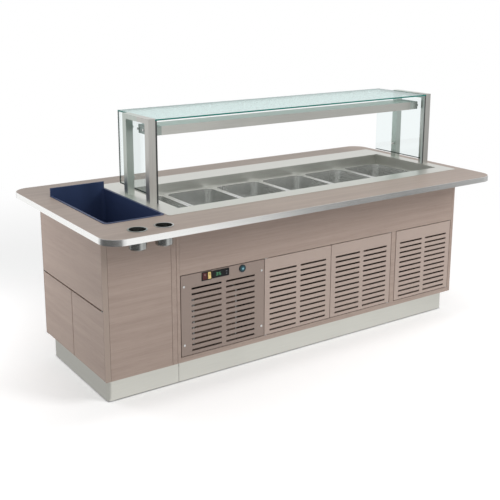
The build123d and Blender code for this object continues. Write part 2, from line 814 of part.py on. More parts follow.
def gastronorm_pan(x_middle, width, depth):
    """A pressed pan: flat rim with round corners, tapering walls and a rounded bottom edge."""
    rim_under = ledge_level + pan_seat_gap
    rim_top = rim_under + pan_sheet
    mouth = (width - 2 * pan_rim, pan_length - 2 * pan_rim)
    downward = Plane(origin=(x_middle, well_centre_y, rim_top), x_dir=(1, 0, 0), z_dir=(0, 0, -1))
    with BuildPart() as cavity:
        with BuildSketch(downward):
            RectangleRounded(mouth[0], mouth[1], pan_corner)
        extrude(amount=depth - pan_sheet, taper=pan_taper)
        fillet(cavity.faces().sort_by(Axis.Z)[0].edges(), pan_bottom_radius)
    with BuildPart() as pan:
        with BuildSketch(downward):
            RectangleRounded(mouth[0] + 2 * pan_sheet, mouth[1] + 2 * pan_sheet, pan_corner + pan_sheet)
        extrude(amount=depth, taper=pan_taper)
        fillet(pan.faces().sort_by(Axis.Z)[0].edges(), pan_bottom_radius + pan_sheet)
        with BuildSketch(downward):
            RectangleRounded(width, pan_length, pan_rim_corner)
        extrude(amount=pan_sheet)
        add(cavity.part, mode=Mode.SUBTRACT)
    return pan


pan_pitch = pan_width + pan_gap
for number in range(1, pan_count + 1):
    pan_middle = well_right - pan_gap - pan_width / 2 - (pan_count - number) * pan_pitch
    save(gastronorm_pan(pan_middle, pan_width, pan_depth), f"pan_{number}")
save(gastronorm_pan(well_left + pan_gap / 2 + tray_width / 2, tray_width, tray_depth), "condiment_tray")

# Bottle cups: turned cups with a flat rim that rests round a hole in the overhang
cup_rim_under = worktop_top + cup_seat_gap
cup_rim_top = cup_rim_under + cup_rim_height
cup_floor = worktop_top - cup_depth
for cup_name, cup_x in zip(("left", "right"), cup_places_x):
    with BuildPart() as cup_hollow:
        upright_pin(cup_x, cup_y, cup_floor + cup_wall, cup_rim_top, cup_radius - cup_wall)
        chamfer(cup_hollow.faces().sort_by(Axis.Z)[0].edges(), cup_bottom_chamfer)
    with BuildPart() as bottle_cup:
        upright_pin(cup_x, cup_y, cup_floor, cup_rim_top, cup_radius)
        chamfer(bottle_cup.faces().sort_by(Axis.Z)[0].edges(), cup_bottom_chamfer)
        upright_pin(cup_x, cup_y, cup_rim_under, cup_rim_top, cup_rim_radius)
        add(cup_hollow.part, mode=Mode.SUBTRACT)
    save(bottle_cup, f"bottle_cup_{cup_name}")

# Crockery bin: a deep moulded bin with a rim and a raised back
bin_x = (bin_opening_x[0] + bin_fit, bin_opening_x[1] - bin_fit)
bin_y = (bin_opening_y[0] + bin_fit, bin_opening_y[1] - bin_fit)
bin_floor = worktop_top - bin_depth
bin_rim_under = worktop_top + bin_seat_gap
bin_rim_top = bin_rim_under + bin_rim_height
bin_inner_x = (bin_x[0] + bin_wall, bin_x[1] - bin_wall)
bin_inner_y = (bin_y[0] + bin_wall, bin_y[1] - bin_wall)

with BuildPart() as crockery_bin:
    with BuildSketch(Plane.XY.offset(bin_floor)):
        rounded_outline(bin_x, bin_y, bin_corner)
    extrude(amount=bin_rim_top - bin_floor)
    with BuildSketch(Plane.XY.offset(bin_rim_under)):
        rounded_outline(wider(bin_opening_x, bin_rim), wider(bin_opening_y, bin_rim), bin_corner)
    extrude(amount=bin_rim_height)
    back_y = (bin_inner_y[1], bin_opening_y[1] + bin_rim)
    block((bin_x[0], bin_x[1]), back_y, (bin_rim_under, worktop_top + bin_back_height))
    with BuildSketch(Plane.XY.offset(bin_floor + bin_wall)):
        rounded_outline(bin_inner_x, bin_inner_y, bin_corner - bin_wall)
    extrude(amount=bin_rim_top - bin_floor, mode=Mode.SUBTRACT)
save(crockery_bin, "crockery_bin")

# Canopy frames: two hollow posts and a top rail at each end, standing on the flange
front_post_y = (canopy_front, canopy_front + canopy_post)
rear_post_y = (canopy_front + canopy_rear_post_offset, canopy_front + canopy_rear_post_offset + canopy_post)
canopy_rail_y = (front_post_y[1], rear_post_y[0])


def square_post(x_span, y_span):
    """Add a square tube with a closed top to the part being built."""
    block(x_span, y_span, (flange_top, canopy_top))
    block(wider(x_span, -canopy_post_wall), wider(y_span, -canopy_post_wall),
          (flange_top, canopy_top - canopy_post_wall), Mode.SUBTRACT)


def canopy_frame(x_span, node):
    """Two posts and the rail between them, as separate tubes that meet face to face."""
    with BuildPart() as posts:
        square_post(x_span, front_post_y)
        square_post(x_span, rear_post_y)
    rail_z = (canopy_top - canopy_rail_height, canopy_top)
    with BuildPart() as rail:
        block(x_span, canopy_rail_y, rail_z)
        block(wider(x_span, -canopy_post_wall), canopy_rail_y, wider(rail_z, -canopy_post_wall),
              Mode.SUBTRACT)
    frame_group = Compound(children=[*posts.part.solids(), *rail.part.solids()])
    frame_group.label = node
    export_step(frame_group, f"parts/{node}.step")


left_post_x = (canopy_left - canopy_post, canopy_left)
right_post_x = (canopy_right, canopy_right + canopy_post)
canopy_frame(left_post_x, "canopy_frame_left")
canopy_frame(right_post_x, "canopy_frame_right")

# Glass: end panes gripped by dark channels on the front posts, and a top pane lying on them
pane_y = (canopy_front + channel_depth - channel_grip, canopy_rear)
pane_z = (flange_top + glass_foot_gap, glass_under)

with BuildPart() as end_panes:
    for pane_x in (pane_left_x, pane_right_x):
        block(pane_x, pane_y, pane_z)
save(end_panes, "end_panes")

with BuildPart() as top_glass:
    block((pane_left_x[0], pane_right_x[1]), (canopy_front, canopy_rear), (glass_under, glass_top))
save(top_glass, "top_glass")

with BuildPart() as pane_channels:
    channel_y = (canopy_front, canopy_front + channel_depth)
    for pane_x in (pane_left_x, pane_right_x):
        block(wider(pane_x, channel_wall), channel_y, (flange_top, glass_under))
        block(pane_x, (pane_y[0], channel_y[1]), (pane_z[0], glass_under), Mode.SUBTRACT)
save(pane_channels, "pane_channels")

# Lamp bar between the panes: folded housing, opal diffuser and two end caps
lamp_x = (pane_left_x[1], pane_right_x[0])
lamp_y = (lamp_front, lamp_rear)
lamp_z = (lamp_bottom, lamp_top)
housing_x = wider(lamp_x, -lamp_cap_length)
lamp_inner_y = wider(lamp_y, -lamp_sheet)

with BuildPart() as lamp_housing:
    block(housing_x, lamp_y, lamp_z)
    block(housing_x, lamp_inner_y, (lamp_bottom, lamp_top - lamp_sheet), Mode.SUBTRACT)
save(lamp_housing, "lamp_housing")

with BuildPart() as lamp_diffuser:
    diffuser_z = (lamp_bottom + diffuser_recess, lamp_bottom + diffuser_recess + diffuser_thickness)
    block(housing_x, lamp_inner_y, diffuser_z)
save(lamp_diffuser, "lamp_diffuser")

with BuildPart() as lamp_end_caps:
    for cap_x in ((lamp_x[0], housing_x[0]), (housing_x[1], lamp_x[1])):
        block(cap_x, lamp_y, lamp_z)
    fillet(lamp_end_caps.edges().filter_by(Axis.X), lamp_cap_fillet)
save(lamp_end_caps, "lamp_end_caps")

# Screws: four in the service panel, three through each pane into the lamp, two at each rear post
lamp_screw_level = middle(lamp_z)
lamp_screw_places = [middle(lamp_y) + step * glass_screw_pitch for step in (-1, 0, 1)]
rear_fixing_levels = (flange_top + glass_foot_gap + glass_fixing_low, lamp_screw_level)

with BuildPart() as fixing_screws:
    with BuildSketch(front_plane):
        with Locations(*screw_places):
            Circle(screw_head_radius)
    extrude(amount=screw_head_height)
    chamfer(fixing_screws.faces().filter_by(Axis.Y).group_by(Axis.Y)[0].edges(), screw_head_height / 2)
    with BuildSketch(front_plane):
        with Locations(*screw_places):
            Circle(screw_shank_radius)
    extrude(amount=-panel_return)
    for pane_x, outward in ((pane_left_x[0], -1), (pane_right_x[1], 1)):
        with BuildSketch(Plane.YZ.offset(pane_x)):
            with Locations(*[(y, lamp_screw_level) for y in lamp_screw_places]):
                Circle(glass_screw_radius)
        extrude(amount=outward * glass_screw_head)
        with BuildSketch(Plane.YZ.offset(pane_x)):
            with Locations(*[(middle(rear_post_y), level) for level in rear_fixing_levels]):
                Circle(glass_washer_radius)
        extrude(amount=outward * glass_edge_gap)
    for pane_x, inward in ((pane_left_x[1], 1), (pane_right_x[0], -1)):
        with BuildSketch(Plane.YZ.offset(pane_x)):
            with Locations(*[(middle(rear_post_y), level) for level in rear_fixing_levels]):
                Circle(glass_screw_radius)
        extrude(amount=inward * glass_screw_head)
save(fixing_screws, "fixing_screws")

# Condensing unit: condenser with fan ring and motor, fan, compressor and pipes
unit_left = main_inner_left + batten_width + condenser_left_room
condenser_x = (unit_left, unit_left + condenser_width)
condenser_y = (body_front + condenser_setback, body_front + condenser_setback + condenser_depth)
condenser_bottom = main_floor_top + condenser_lift
condenser_z = (condenser_bottom, condenser_bottom + condenser_height)
fan_x = middle(condenser_x)
fan_z = middle(condenser_z)
fan_plane = Plane(origin=(fan_x, condenser_y[1], fan_z), x_dir=(1, 0, 0), z_dir=(0, 1, 0))
motor_bar_y = condenser_y[0] + condenser_plate_depth
hub_from = fan_hub_setback
shaft_length = motor_bar_y - condenser_y[1] - hub_from

with BuildPart() as condenser:
    block(condenser_x, condenser_y, condenser_z)
    with BuildSketch(fan_plane):
        Circle(fan_radius + fan_tip_gap + fan_ring_wall)
        Circle(fan_radius + fan_tip_gap, mode=Mode.SUBTRACT)
    extrude(amount=fan_ring_depth)
    for plate_x in ((condenser_x[0] - condenser_plate, condenser_x[0]),
                    (condenser_x[1], condenser_x[1] + condenser_plate)):
        block(plate_x, (condenser_y[0], motor_bar_y + condenser_plate), condenser_z)
        block(plate_x, (condenser_y[1], motor_bar_y + condenser_plate), (main_floor_top, condenser_bottom))
    block(condenser_x, (motor_bar_y, motor_bar_y + condenser_plate),
          (fan_z - motor_bar_height / 2, fan_z + motor_bar_height / 2))
    with BuildSketch(fan_plane.offset(motor_bar_y - condenser_y[1] + condenser_plate)):
        Circle(fan_motor_radius)
    extrude(amount=fan_motor_length)
    with BuildSketch(fan_plane.offset(hub_from)):
        Circle(fan_shaft_radius)
    extrude(amount=shaft_length)
save(condenser, "condenser")

blade_middle = condenser_y[1] + hub_from + fan_hub_length / 2
blade_pitch = radians(fan_blade_pitch)

with BuildPart() as fan_blade:
    with BuildSketch(fan_plane.offset(hub_from)):
        Circle(fan_hub_radius)
    extrude(amount=fan_hub_length)
    for number in range(fan_blade_count):
        turn = 2 * pi * number / fan_blade_count
        lean = sin(blade_pitch)
        blade_plane = Plane(origin=(fan_x, blade_middle, fan_z),
                            x_dir=(cos(turn), 0, sin(turn)),
                            z_dir=(sin(turn) * lean, cos(blade_pitch), -cos(turn) * lean))
        with BuildSketch(blade_plane):
            with BuildLine():
                Polyline((0, -fan_hub_radius / 2),
                         (fan_radius, -fan_blade_width / 2),
                         (fan_radius, fan_blade_width / 2),
                         (0, fan_hub_radius / 2),
                         close=True)
            make_face()
            Circle(fan_radius, mode=Mode.INTERSECT)
        extrude(amount=fan_blade_thickness / 2, both=True)
    with BuildSketch(fan_plane.offset(hub_from)):
        Circle(fan_shaft_radius + fan_shaft_fit)
    extrude(amount=fan_hub_length, mode=Mode.SUBTRACT)
save(fan_blade, "fan_blade")

compressor_x = condenser_x[1] - compressor_from_side
compressor_y = inner_rear - compressor_from_rear
compressor_top = main_floor_top + compressor_base + compressor_height

with BuildPart() as compressor:
    with Locations((compressor_x, compressor_y, main_floor_top + compressor_base / 2)):
        Box(2 * compressor_radius + pipe_bend, 2 * compressor_radius, compressor_base)
    with BuildSketch(Plane.XY.offset(main_floor_top + compressor_base)):
        with Locations((compressor_x, compressor_y)):
            Circle(compressor_radius)
    extrude(amount=compressor_height)
    fillet(compressor.faces().sort_by(Axis.Z)[-1].edges(), compressor_dome)
save(compressor, "compressor")

discharge_level = compressor_top + pipe_rise
condenser_port_y = middle(condenser_y)
suction_x = compressor_x - pipe_spread

with BuildPart() as refrigerant_pipes:
    with BuildLine() as discharge_path:
        FilletPolyline((compressor_x, compressor_y, compressor_top),
                       (compressor_x, compressor_y, discharge_level),
                       (compressor_x, condenser_port_y, discharge_level),
                       (compressor_x, condenser_port_y, condenser_z[1]),
                       radius=pipe_bend)
    with BuildSketch(Plane(origin=(compressor_x, compressor_y, compressor_top), z_dir=(0, 0, 1))):
        Circle(pipe_radius)
    sweep(path=discharge_path.line)
    with BuildSketch(Plane(origin=(suction_x, compressor_y, compressor_top), z_dir=(0, 0, 1))):
        Circle(pipe_radius)
    extrude(amount=insulation_bottom - compressor_top)
save(refrigerant_pipes, "refrigerant_pipes")
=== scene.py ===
"""Looks for the buffet island: finishes, small trim, a studio floor, soft light and the camera."""

import math

import bmesh
import bpy
from mathutils import Matrix, Vector


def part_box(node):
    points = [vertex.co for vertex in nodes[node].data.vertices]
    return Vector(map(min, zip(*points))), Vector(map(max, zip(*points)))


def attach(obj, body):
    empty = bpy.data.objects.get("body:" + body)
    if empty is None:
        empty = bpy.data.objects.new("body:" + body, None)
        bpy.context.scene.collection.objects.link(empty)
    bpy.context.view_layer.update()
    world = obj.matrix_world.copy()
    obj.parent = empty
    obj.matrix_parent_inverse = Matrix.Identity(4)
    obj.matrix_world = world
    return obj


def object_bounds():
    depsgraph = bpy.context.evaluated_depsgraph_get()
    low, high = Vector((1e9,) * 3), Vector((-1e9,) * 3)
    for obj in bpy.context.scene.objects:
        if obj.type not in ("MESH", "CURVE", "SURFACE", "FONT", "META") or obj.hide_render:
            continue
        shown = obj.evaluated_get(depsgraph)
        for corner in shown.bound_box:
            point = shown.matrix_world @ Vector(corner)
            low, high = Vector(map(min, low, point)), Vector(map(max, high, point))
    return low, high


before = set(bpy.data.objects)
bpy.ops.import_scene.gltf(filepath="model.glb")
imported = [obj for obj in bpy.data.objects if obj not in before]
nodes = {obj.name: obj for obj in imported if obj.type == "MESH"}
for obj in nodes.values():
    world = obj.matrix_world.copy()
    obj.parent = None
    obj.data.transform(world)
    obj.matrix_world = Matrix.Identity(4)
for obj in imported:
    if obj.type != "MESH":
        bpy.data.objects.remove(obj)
cad_low, cad_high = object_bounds()


# Node building

class Wire:
    """One output of a node. Arithmetic on it adds Math nodes to the same tree."""

    def __init__(self, tree, socket):
        self.tree = tree
        self.socket = socket

    def make(self, kind, settings=None, sockets=None, output=0):
        return add_node(self.tree, kind, settings, sockets, output)

    def _math(self, operation, first, second=0.0):
        return self.make("ShaderNodeMath", {"operation": operation}, {0: first, 1: second})

    def __add__(self, other):
        return self._math("ADD", self, other)

    def __radd__(self, other):
        return self._math("ADD", other, self)

    def __sub__(self, other):
        return self._math("SUBTRACT", self, other)

    def __rsub__(self, other):
        return self._math("SUBTRACT", other, self)

    def __mul__(self, other):
        return self._math("MULTIPLY", self, other)

    def __rmul__(self, other):
        return self._math("MULTIPLY", other, self)

    def __gt__(self, other):
        return self._math("GREATER_THAN", self, other)

    def __lt__(self, other):
        return self._math("LESS_THAN", self, other)

    def smallest(self, other):
        return self._math("MINIMUM", self, other)

    def largest(self, other):
        return self._math("MAXIMUM", self, other)

    def size(self):
        return self._math("ABSOLUTE", self)


def add_node(tree, kind, settings=None, sockets=None, output=0):
    """Add one node: first its settings, then the values or links of its sockets. Gives one output."""
    node = tree.nodes.new(kind)
    for name, value in (settings or {}).items():
        setattr(node, name, value)
    for name, value in (sockets or {}).items():
        if isinstance(value, Wire):
            tree.links.new(value.socket, node.inputs[name])
        else:
            node.inputs[name].default_value = value
    return Wire(tree, node.outputs[output]) if node.outputs else None


def new_tree(name):
    """A material with an empty node tree."""
    material = bpy.data.materials.new(name)
    material.use_nodes = True
    material.node_tree.nodes.clear()
    return material, material.node_tree


def close_tree(tree, surface):
    add_node(tree, "ShaderNodeOutputMaterial", None, {"Surface": surface})


def here(tree):
    """Object coordinates."""
    return add_node(tree, "ShaderNodeTexCoord", None, None, "Object")


def face_normal(tree):
    """The direction that a face looks in."""
    return add_node(tree, "ShaderNodeNewGeometry", None, None, "Normal")


def ray_is(tree, kind):
    """1 for rays of one kind, 0 for others."""
    return add_node(tree, "ShaderNodeLightPath", None, None, "Is %s Ray" % kind)


def component(vector, axis):
    """One component of a vector, named by its axis."""
    return vector.make("ShaderNodeSeparateXYZ", None, {"Vector": vector}, axis)


def place(tree, scale=(1.0, 1.0, 1.0)):
    """Object coordinates, stretched."""
    where = here(tree)
    return where.make("ShaderNodeMapping", None, {"Vector": where, "Scale": scale})


def drawn_out(along, long, cross):
    """Scales that draw a pattern out along one axis."""
    return tuple(long if axis == along else cross for axis in "XYZ")


def noise(where, scale, detail, rough=0.5):
    return where.make("ShaderNodeTexNoise", None,
                      {"Vector": where, "Scale": scale, "Detail": detail, "Roughness": rough}, "Fac")


def blend_colour(factor, first, second):
    """Mix two colours by a factor."""
    return factor.make("ShaderNodeMix", {"data_type": "RGBA"}, {0: factor, 6: first, 7: second}, 2)


def blend_surface(factor, first, second):
    """Mix two shaders by a factor."""
    return factor.make("ShaderNodeMixShader", None, {"Fac": factor, 1: first, 2: second})


def ramp_between(value, low, high, first=0.0, last=1.0, curve="SMOOTHSTEP"):
    """The first level at the low value and the last one at the high value, which may be the smaller."""
    return value.make("ShaderNodeMapRange", {"clamp": True, "interpolation_type": curve},
                      {"Value": value, "From Min": low, "From Max": high, "To Min": first, "To Max": last})


def bump(height, strength, distance):
    return height.make("ShaderNodeBump", None, {"Height": height, "Strength": strength, "Distance": distance})


def principled(tree, **sockets):
    named = {key.replace("_", " "): value for key, value in sockets.items()}
    return add_node(tree, "ShaderNodeBsdfPrincipled", None, named)


# Colours

WHITE = (1.0, 1.0, 1.0, 1.0)


def shade(red, green, blue):
    """A colour from its 0 to 255 screen values, in the linear form that shaders take."""
    linear = []
    for level in (red / 255, green / 255, blue / 255):
        linear.append(level / 12.92 if level <= 0.04045 else ((level + 0.055) / 1.055) ** 2.4)
    return (*linear, 1.0)


def scaled(colour, share, lift=0.0):
    """A colour made brighter or darker, no brighter than white."""
    return tuple(min(1.0, part * share + lift) for part in colour[:3]) + (1.0,)


# Finishes

NOISE_MEAN = 0.5
FACE_ON = 0.5
GRAIN_LONG, GRAIN_CROSS = 0.9, 26.0
SCRATCH_LONG, SCRATCH_CROSS = 1.5, 90.0
EDGE_HAIR = 0.0005
PORE_BROWN = shade(70, 58, 50)
GLASS_SHEEN = shade(240, 248, 248)


def laminate(name, along, light, dark):
    """Grey-brown laminate: long soft streaks, a fine fibre and a faint pore, running along one axis."""
    broad_share, fibre_share, cloud_share = 0.45, 0.38, 0.17
    tone_low, tone_high = 0.36, 0.64
    pore_low, pore_high, pore_least = 0.30, 0.42, 0.86
    fibre_relief, pore_relief = 0.6, 0.4
    rough, rough_spread = 0.40, 0.16
    material, tree = new_tree(name)
    where = place(tree, drawn_out(along, GRAIN_LONG, GRAIN_CROSS))
    broad = noise(where, scale=1.1, detail=3.0, rough=0.55)
    fibre = noise(where, scale=5.5, detail=4.0, rough=0.62)
    pore = noise(where, scale=17.0, detail=2.0)
    cloud = noise(place(tree), scale=2.2, detail=2.0)
    mixed = broad * broad_share + fibre * fibre_share + cloud * cloud_share
    colour = blend_colour(ramp_between(mixed, tone_low, tone_high, curve="LINEAR"), dark, light)
    pores = ramp_between(pore, pore_low, pore_high, first=pore_least, curve="LINEAR")
    colour = blend_colour(1.0 - pores, colour, PORE_BROWN)
    relief = bump(fibre * fibre_relief + pore * pore_relief, strength=0.12, distance=0.0006)
    gloss = rough + fibre * rough_spread
    close_tree(tree, principled(tree, Base_Color=colour, Roughness=gloss, Normal=relief))
    return material


def brushed_steel(name, along, colour, rough, streak=0.10, spread=0.10, rear_sheen=None):
    """Satin stainless: fine scratches along one axis that change its tone and gloss a little.

    Where a second colour is given, the rear half gets it as a painted sheen: the paler, greener look of steel
    seen through the glass.
    """
    streak_depth = 2.2
    scratch_share, cloud_share, clean_share = 0.8, 0.35, 0.08
    cloud_gloss = 0.08
    material, tree = new_tree(name)
    where = place(tree, drawn_out(along, SCRATCH_LONG, SCRATCH_CROSS))
    scratch = noise(where, scale=4.0, detail=4.0, rough=0.65)
    cloud = noise(place(tree), scale=3.1, detail=3.0)
    darker = scaled(colour, 1.0 - streak_depth * streak)
    amount = scratch * scratch_share + cloud * cloud_share - clean_share
    tone = blend_colour(amount.largest(0.0).smallest(1.0), darker, colour)
    # The rear half's second colour is a painted sheen, not a different steel.
    if rear_sheen:
        rear = component(here(tree), "Y") > 0.0
        tone = blend_colour(rear, tone, blend_colour(scratch, darker, rear_sheen))
    gloss = rough - NOISE_MEAN * spread + scratch * spread + (cloud - NOISE_MEAN) * cloud_gloss
    relief = bump(scratch, strength=0.05, distance=0.0003)
    close_tree(tree, principled(tree, Base_Color=tone, Metallic=1.0, Roughness=gloss, Normal=relief))
    return material


def finned_block(name, node, plate_depth, fin_colour, plate_colour):
    """Dull aluminium fins between two pale galvanised end plates, told apart by their place along X."""
    dull_share = 0.8
    fin_metal, plate_metal = 0.6, 0.1
    rough, rough_spread = 0.4, 0.2
    material, tree = new_tree(name)
    low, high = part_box(node)
    from_middle = (component(here(tree), "X") - (low.x + high.x) / 2).size()
    plate = from_middle > (high.x - low.x) / 2 - plate_depth
    spangle = noise(place(tree), scale=60.0, detail=3.0, rough=0.6)
    galvanised = blend_colour(spangle, scaled(plate_colour, dull_share), plate_colour)
    close_tree(tree, principled(tree, Base_Color=blend_colour(plate, fin_colour, galvanised),
                                Metallic=fin_metal - plate * (fin_metal - plate_metal),
                                Roughness=rough + spangle * rough_spread))
    return material


def painted_sheet(name, colour, rough):
    """Satin powder paint with a faint orange-peel skin and a slow drift of tone."""
    darker_share, cloud_gloss = 0.93, 0.1
    material, tree = new_tree(name)
    peel = noise(place(tree), scale=900.0, detail=2.0)
    cloud = noise(place(tree), scale=4.0, detail=2.0)
    close_tree(tree, principled(tree, Base_Color=blend_colour(cloud, scaled(colour, darker_share), colour),
                                Roughness=rough + (cloud - NOISE_MEAN) * cloud_gloss,
                                Normal=bump(peel, strength=0.06, distance=0.0003)))
    return material


def moulded_plastic(name, colour, rough, grain=0.10, shine=0.5, side_sheen=None):
    """Moulded plastic with a fine spark-eroded grain. Faces that look along X may get a paler colour, which
    is a painted sheen.
    """
    lighter_share, lighter_lift, speck_gloss = 1.12, 0.004, 0.12
    material, tree = new_tree(name)
    speck = noise(place(tree), scale=1400.0, detail=2.0)
    cloud = noise(place(tree), scale=9.0, detail=2.0)
    tone = blend_colour(cloud, colour, scaled(colour, lighter_share, lighter_lift))
    # Faces that look along X get a paler painted sheen instead of the body colour.
    if side_sheen:
        sideways = component(face_normal(tree), "X").size() > FACE_ON
        tone = blend_colour(sideways, tone, side_sheen)
    close_tree(tree, principled(tree, Base_Color=tone, Roughness=rough + (speck - NOISE_MEAN) * speck_gloss,
                                Normal=bump(speck, grain, distance=0.0002), Specular_IOR_Level=shine))
    return material


def glowing(name, glow, strength, body):
    """A lit face: a plastic body with a glow that is a little uneven."""
    dimmer_share, dull_share = 0.8, 0.9
    rough, rough_spread = 0.3, 0.1
    material, tree = new_tree(name)
    cloud = noise(place(tree), scale=60.0, detail=2.0)
    close_tree(tree, principled(tree, Base_Color=blend_colour(cloud, scaled(body, dull_share), body),
                                Roughness=rough + cloud * rough_spread,
                                Emission_Color=blend_colour(cloud, scaled(glow, dimmer_share), glow),
                                Emission_Strength=strength))
    return material


def plate_glass(name, node, face_axis, tint, edge_dark, edge_light, foot_line, polished_from):
    """Clear plate glass with coloured cut edges. Its faces look along one axis and mirror at a low angle.

    The lower cut edge shows through the faces as a line. Rear edges past a place along X are polished.
    """
    mirror_least, mirror_rise = 0.04, 0.9
    rough, rough_spread = 0.15, 0.1
    material, tree = new_tree(name)
    low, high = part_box(node)
    where = here(tree)
    polished = (component(where, "Y") > high.y - EDGE_HAIR) * (component(where, "X") > polished_from)
    sideways = component(face_normal(tree), face_axis).size() < FACE_ON
    edge = sideways.largest(component(where, "Z") < low.z + foot_line) * (1.0 - polished)
    drift = noise(place(tree), scale=3.0, detail=2.0)
    lean = add_node(tree, "ShaderNodeLayerWeight", None, {"Blend": 0.5}, "Facing")
    steep = lean * lean
    mirror_share = steep * steep * lean * mirror_rise + mirror_least
    clear = add_node(tree, "ShaderNodeBsdfTransparent", None, {"Color": tint})
    mirror = add_node(tree, "ShaderNodeBsdfGlossy", None, {"Color": GLASS_SHEEN, "Roughness": 0.02})
    cut = principled(tree, Base_Color=blend_colour(drift, edge_dark, edge_light),
                     Roughness=rough + drift * rough_spread)
    close_tree(tree, blend_surface(edge, blend_surface(mirror_share, clear, mirror), cut))
    return material


LAMINATE_LIGHT = shade(167, 149, 138)
LAMINATE_DARK = shade(152, 134, 124)

finishes = {
    "laminate_x": laminate("laminate_grain_across", "X", LAMINATE_LIGHT, LAMINATE_DARK),
    "laminate_y": laminate("laminate_grain_end", "Y", LAMINATE_LIGHT, LAMINATE_DARK),
    "worktop": laminate("laminate_worktop", "X", shade(172, 156, 145), shade(153, 137, 127)),
    "louvre": painted_sheet("louvre_paint", shade(173, 156, 146), 0.42),
    # The service panel gets a darker copy of the louvre doors' paint.
    "service": painted_sheet("service_panel_paint", shade(145, 129, 120), 0.42),
    "corner": painted_sheet("corner_profile_paint", shade(160, 144, 133), 0.42),
    "plinth": brushed_steel("plinth_steel", "X", shade(214, 213, 205), 0.38),
    "band": brushed_steel("edge_band_steel", "X", shade(252, 252, 250), 0.22, streak=0.05, spread=0.06),
    "flange": brushed_steel("flange_steel", "X", shade(213, 213, 207), 0.36),
    "tank": brushed_steel("tank_steel", "X", shade(204, 204, 199), 0.34),
    "pan": brushed_steel("pan_steel", "Y", shade(212, 213, 211), 0.26, streak=0.06),
    "cup": brushed_steel("cup_steel", "Z", shade(178, 180, 178), 0.24, streak=0.05, spread=0.05),
    # The posts' rear half carries a paler, greener painted sheen.
    "post": brushed_steel("post_steel", "Z", shade(204, 203, 198), 0.36, streak=0.14,
                          rear_sheen=shade(196, 210, 202)),
    "lamp": brushed_steel("lamp_steel", "X", shade(212, 212, 206), 0.34),
    "fastener": brushed_steel("fastener_steel", "X", shade(228, 228, 226), 0.22),
    "zinc": brushed_steel("foot_zinc", "Z", shade(180, 182, 184), 0.42),
    "frame_paint": painted_sheet("base_frame_paint", shade(92, 93, 95), 0.5),
    "navy": moulded_plastic("bin_navy", shade(52, 66, 100), 0.42, grain=0.05, shine=0.20),
    "black": moulded_plastic("black_plastic", shade(9, 9, 11), 0.5, shine=0.25),
    # The channels' faces that look along X carry a pale painted sheen.
    "dark": moulded_plastic("channel_dark", shade(48, 50, 50), 0.40, side_sheen=shade(196, 205, 202)),
    "cap_grey": moulded_plastic("lamp_cap_grey", shade(148, 156, 151), 0.46),
    "ring": moulded_plastic("button_ring_dark", shade(36, 52, 57), 0.45, shine=0.3),
    "display": moulded_plastic("display_black", shade(8, 14, 12), 0.35, grain=0.02, shine=0.25),
    "key": moulded_plastic("key_grey", shade(22, 22, 26), 0.5, shine=0.3),
    "red": moulded_plastic("rocker_red", shade(74, 26, 28), 0.35, grain=0.05, shine=0.3),
    "yellow": moulded_plastic("rocker_amber", shade(222, 194, 124), 0.35, grain=0.05, shine=0.3),
    "blue": moulded_plastic("button_teal", shade(26, 78, 90), 0.3, grain=0.03, shine=0.35),
    "opal": glowing("diffuser_opal", (1.0, 0.93, 0.82, 1.0), strength=0.7, body=shade(236, 234, 228)),
    "digit": glowing("digit_green", (0.10, 0.36, 0.17, 1.0), strength=1.0, body=shade(16, 60, 34)),
    # The lens glows as a painted highlight on the button; it is no lamp.
    "lens": glowing("button_lens_painted_highlight", (0.16, 0.34, 0.38, 1.0), strength=0.3, body=shade(120, 160, 172)),
    "foam": painted_sheet("insulation_foam", shade(214, 200, 150), 0.8),
    "pot": painted_sheet("compressor_paint", shade(28, 28, 29), 0.3),
    "fins": finned_block("condenser_aluminium", "condenser", plate_depth=0.010,
                         fin_colour=shade(166, 146, 132), plate_colour=shade(250, 249, 246)),
    "copper": brushed_steel("pipe_copper", "Z", shade(214, 140, 96), 0.3),
    "mark": moulded_plastic("key_mark", shade(128, 130, 134), 0.5),
    "mark_pale": moulded_plastic("rocker_mark_pale", shade(206, 170, 166), 0.5),
    "mark_dark": moulded_plastic("rocker_mark_dark", shade(96, 74, 40), 0.5),
    # The screw crosses are painted shade standing in for the dark of the recesses.
    "recess": moulded_plastic("screw_recess", shade(150, 150, 147), 0.6),
    "end_glass": plate_glass("end_pane_glass", "end_panes", "X", tint=shade(249, 252, 252),
                             edge_dark=shade(44, 52, 50), edge_light=shade(96, 108, 104),
                             foot_line=0.004, polished_from=0.0),
    "top_glass": plate_glass("top_pane_glass", "top_glass", "Z", tint=shade(227, 240, 238),
                             edge_dark=shade(6, 92, 84), edge_light=shade(30, 128, 118),
                             foot_line=0.0, polished_from=cad_high.x),
}

